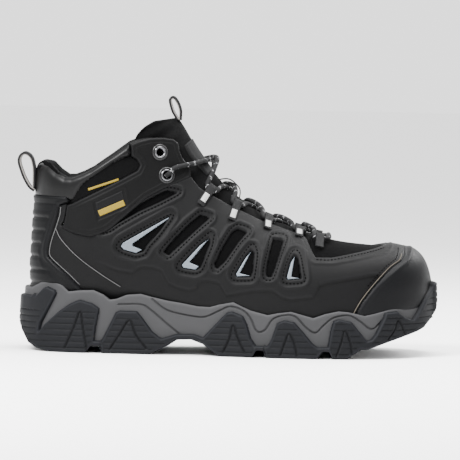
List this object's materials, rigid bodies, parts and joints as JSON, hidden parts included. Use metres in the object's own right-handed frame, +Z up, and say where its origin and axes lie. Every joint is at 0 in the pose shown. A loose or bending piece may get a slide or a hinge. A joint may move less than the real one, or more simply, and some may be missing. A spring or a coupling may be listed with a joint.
{
  "type": "steel toe work boot",
  "caption": "Mid-height hiker-style safety boot for the right foot, with a moulded cage over mesh, laced through webbing loops, rubber toe and heel guards and a lugged outsole.",
  "frame": {"origin": "on the ground, under the middle of the heel lug, on the plane down the middle of the last", "axes": "+X to the toe, +Y to the inner side of the foot, +Z up; the ground is Z = 0"},
  "size_m": [0.3126, 0.1232, 0.1884],
  "materials": {
    "aglet_plastic": "plain",
    "board": "fibre board",
    "collar_leather": "smooth",
    "eyelet_nickel": "polished",
    "gasket_rubber": "matte",
    "guard_rubber": "matte",
    "lace_cord": "braided",
    "lining_fabric": "mesh",
    "loop_webbing": "woven",
    "mesh_fabric": "mesh",
    "midsole_foam": "matte",
    "overlay_synthetic": "fine grain",
    "patch_rubber": "matte",
    "pull_webbing": "woven",
    "reflective_silver": "reflective film",
    "rubber": "matte",
    "shank_composite": "plain",
    "soft_foam": "foam",
    "stiffener_plastic": "plain",
    "strip_webbing": "woven",
    "toe_cap_steel": "pressed steel",
    "tongue_cloth": "woven",
    "tongue_label": "woven"
  },
  "bodies": {
    "boot": {"aglet_lateral": "aglet_plastic", "aglet_medial": "aglet_plastic", "ankle_panel_lateral": "overlay_synthetic", "ankle_panel_medial": "overlay_synthetic", "ankle_patch": "patch_rubber", "collar_foam": "soft_foam", "collar_leather": "collar_leather", "collar_strip_lateral": "strip_webbing", "collar_strip_medial": "strip_webbing", "eyelet_lateral_1": "eyelet_nickel", "eyelet_lateral_2": "eyelet_nickel", "eyelet_medial_1": "eyelet_nickel", "eyelet_medial_2": "eyelet_nickel", "footbed": "soft_foam", "heel_counter": "stiffener_plastic", "heel_guard": "guard_rubber", "insole_board": "board", "lace": "lace_cord", "lace_keeper": "pull_webbing", "lace_loop_lateral_1": "loop_webbing", "lace_loop_lateral_2": "loop_webbing", "lace_loop_lateral_3": "loop_webbing", "lace_loop_lateral_4": "loop_webbing", "lace_loop_lateral_5": "loop_webbing", "lace_loop_medial_1": "loop_webbing", "lace_loop_medial_2": "loop_webbing", "lace_loop_medial_3": "loop_webbing", "lace_loop_medial_4": "loop_webbing", "lace_loop_medial_5": "loop_webbing", "lining": "lining_fabric", "metatarsal_guard": "stiffener_plastic", "midsole": "midsole_foam", "outsole": "rubber", "overlay_lateral": "overlay_synthetic", "overlay_medial": "overlay_synthetic", "quarter_mesh_lateral": "mesh_fabric", "quarter_mesh_medial": "mesh_fabric", "reflective_trim_lateral_1": "reflective_silver", "reflective_trim_lateral_2": "reflective_silver", "reflective_trim_lateral_3": "reflective_silver", "reflective_trim_lateral_4": "reflective_silver", "reflective_trim_medial_1": "reflective_silver", "reflective_trim_medial_2": "reflective_silver", "reflective_trim_medial_3": "reflective_silver", "reflective_trim_medial_4": "reflective_silver", "shank": "shank_composite", "steel_toe_cap": "toe_cap_steel", "toe_cap_gasket": "gasket_rubber", "toe_guard": "guard_rubber", "tongue": "tongue_cloth", "tongue_patch": "tongue_label", "vamp_mesh": "mesh_fabric"},
    "heel_pull_loop": {"heel_pull_loop": "pull_webbing"},
    "tongue_top": {"tongue_top": "tongue_cloth"},
    "tongue_pull_loop": {"tongue_pull_loop": "pull_webbing"}
  },
  "joints": [
    {"name": "heel_loop_swing", "type": "hinge", "parent": "boot", "child": "heel_pull_loop", "pos_m": [-0.024, 0, 0.1166], "axis": [0, -1, 0], "range_deg": [0, 40], "stiffness_Nm_per_rad": 0.03},
    {"name": "tongue_fold", "type": "hinge", "parent": "boot", "child": "tongue_top", "pos_m": [0.0922, 0, 0.1572], "axis": [0, 1, 0], "range_deg": [-5, 30], "stiffness_Nm_per_rad": 0.15},
    {"name": "tongue_loop_swing", "type": "hinge", "parent": "tongue_top", "child": "tongue_pull_loop", "pos_m": [0.0826, 0, 0.1709], "axis": [0, 1, 0], "range_deg": [-12, 35], "stiffness_Nm_per_rad": 0.02}
  ]
}
